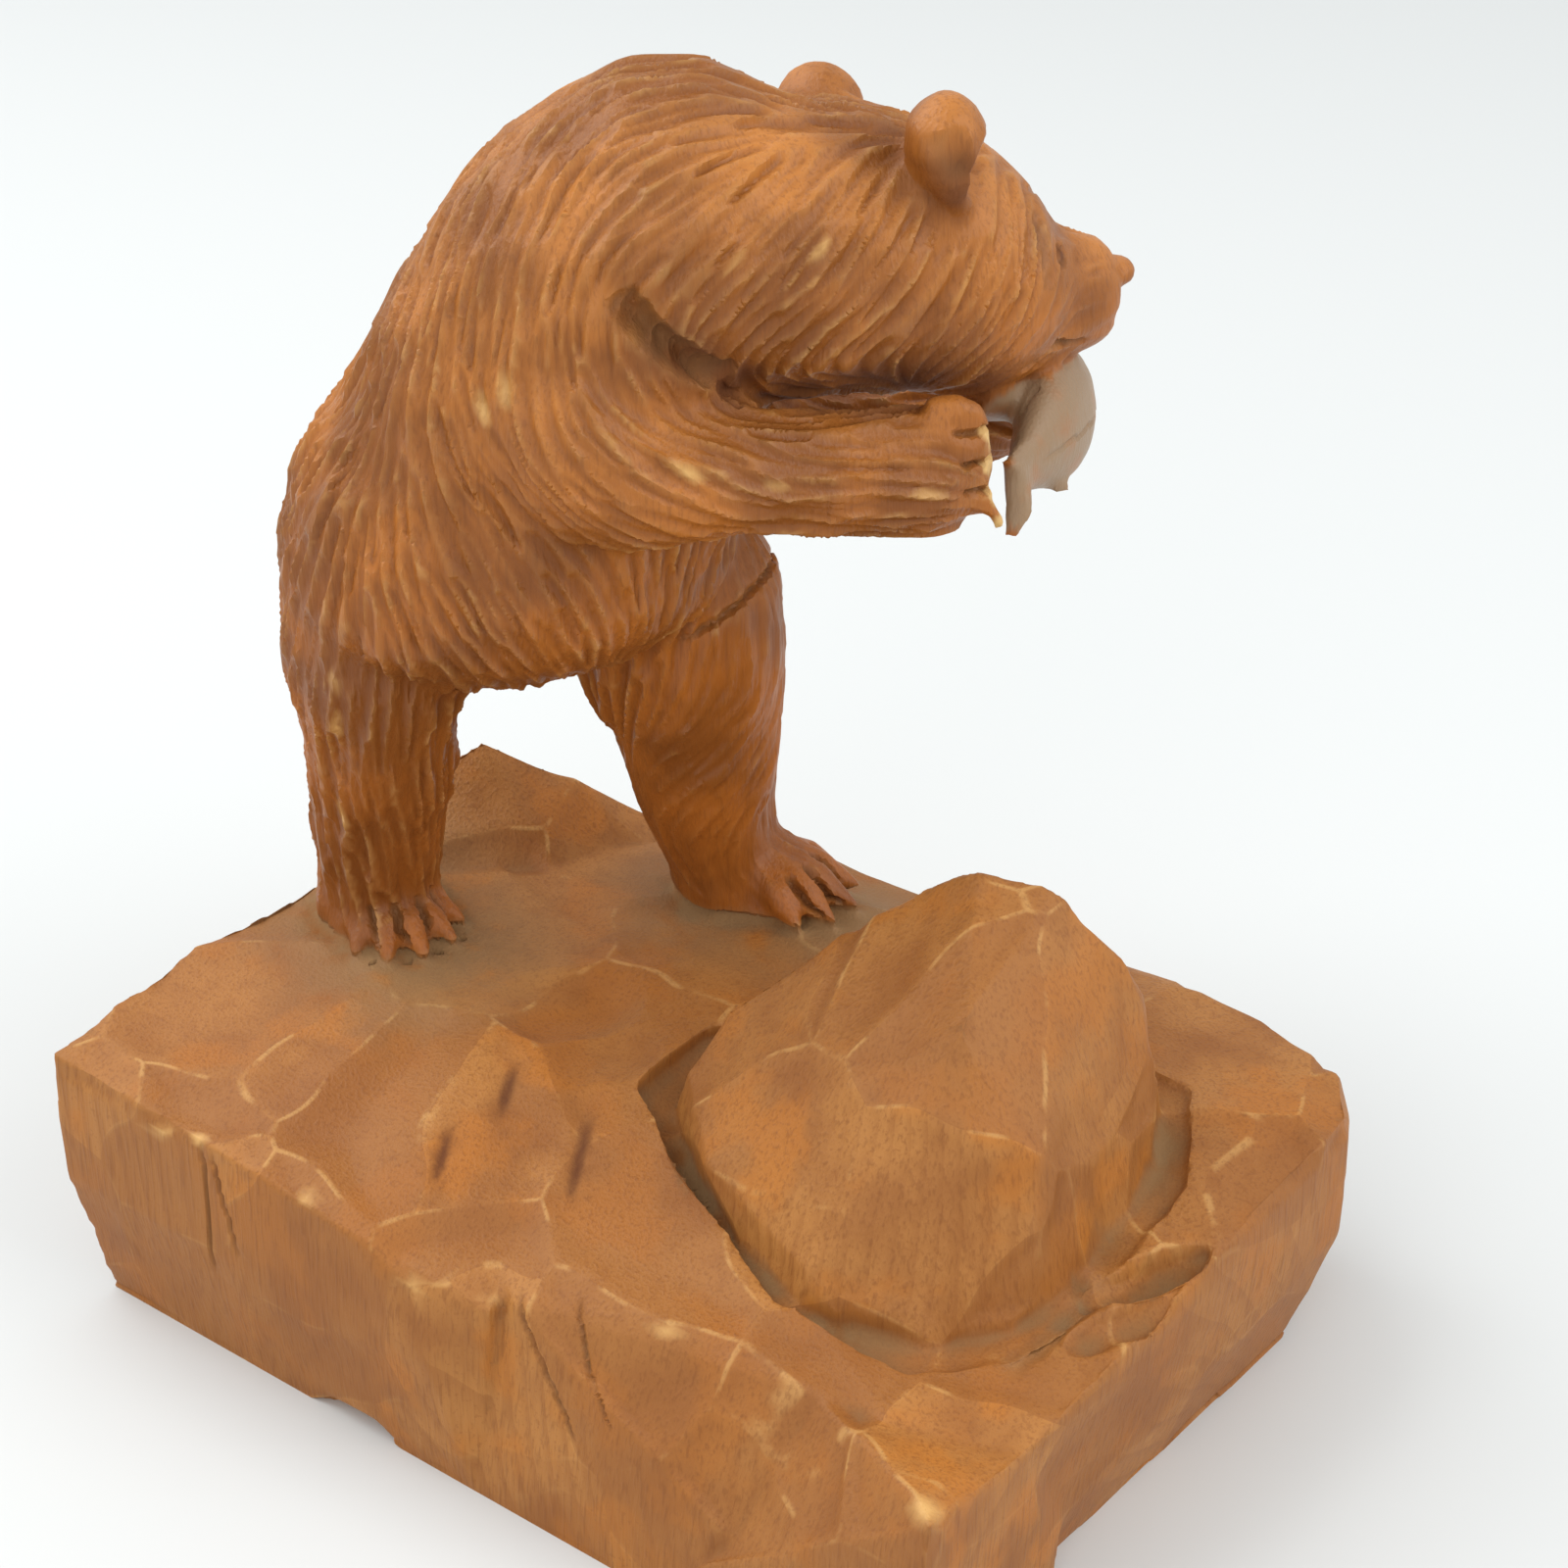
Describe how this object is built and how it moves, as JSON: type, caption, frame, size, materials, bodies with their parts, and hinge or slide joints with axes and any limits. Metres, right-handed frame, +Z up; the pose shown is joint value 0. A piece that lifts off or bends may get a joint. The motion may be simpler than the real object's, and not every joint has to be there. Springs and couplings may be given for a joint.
{
  "type": "carved wooden bear",
  "caption": "Bear standing upright on a faceted rock and biting a fish that it grips in its front paws, carved together with its rock base in stained wood.",
  "frame": {"origin": "on the ground, under the middle of the bounding box", "axes": "+Z up; the long front side of the rock faces -Y and the boulder stands towards +X; the bear looks towards +X and +Y"},
  "size_m": [0.2, 0.1724, 0.2327],
  "materials": {
    "stained_wood": "orange-brown stain with a thin satin varnish, paler on the rock, worn pale on the ridges, with grey dirt in the grooves"
  },
  "bodies": {
    "root": {"carved_bear": "stained_wood"}
  },
  "joints": []
}
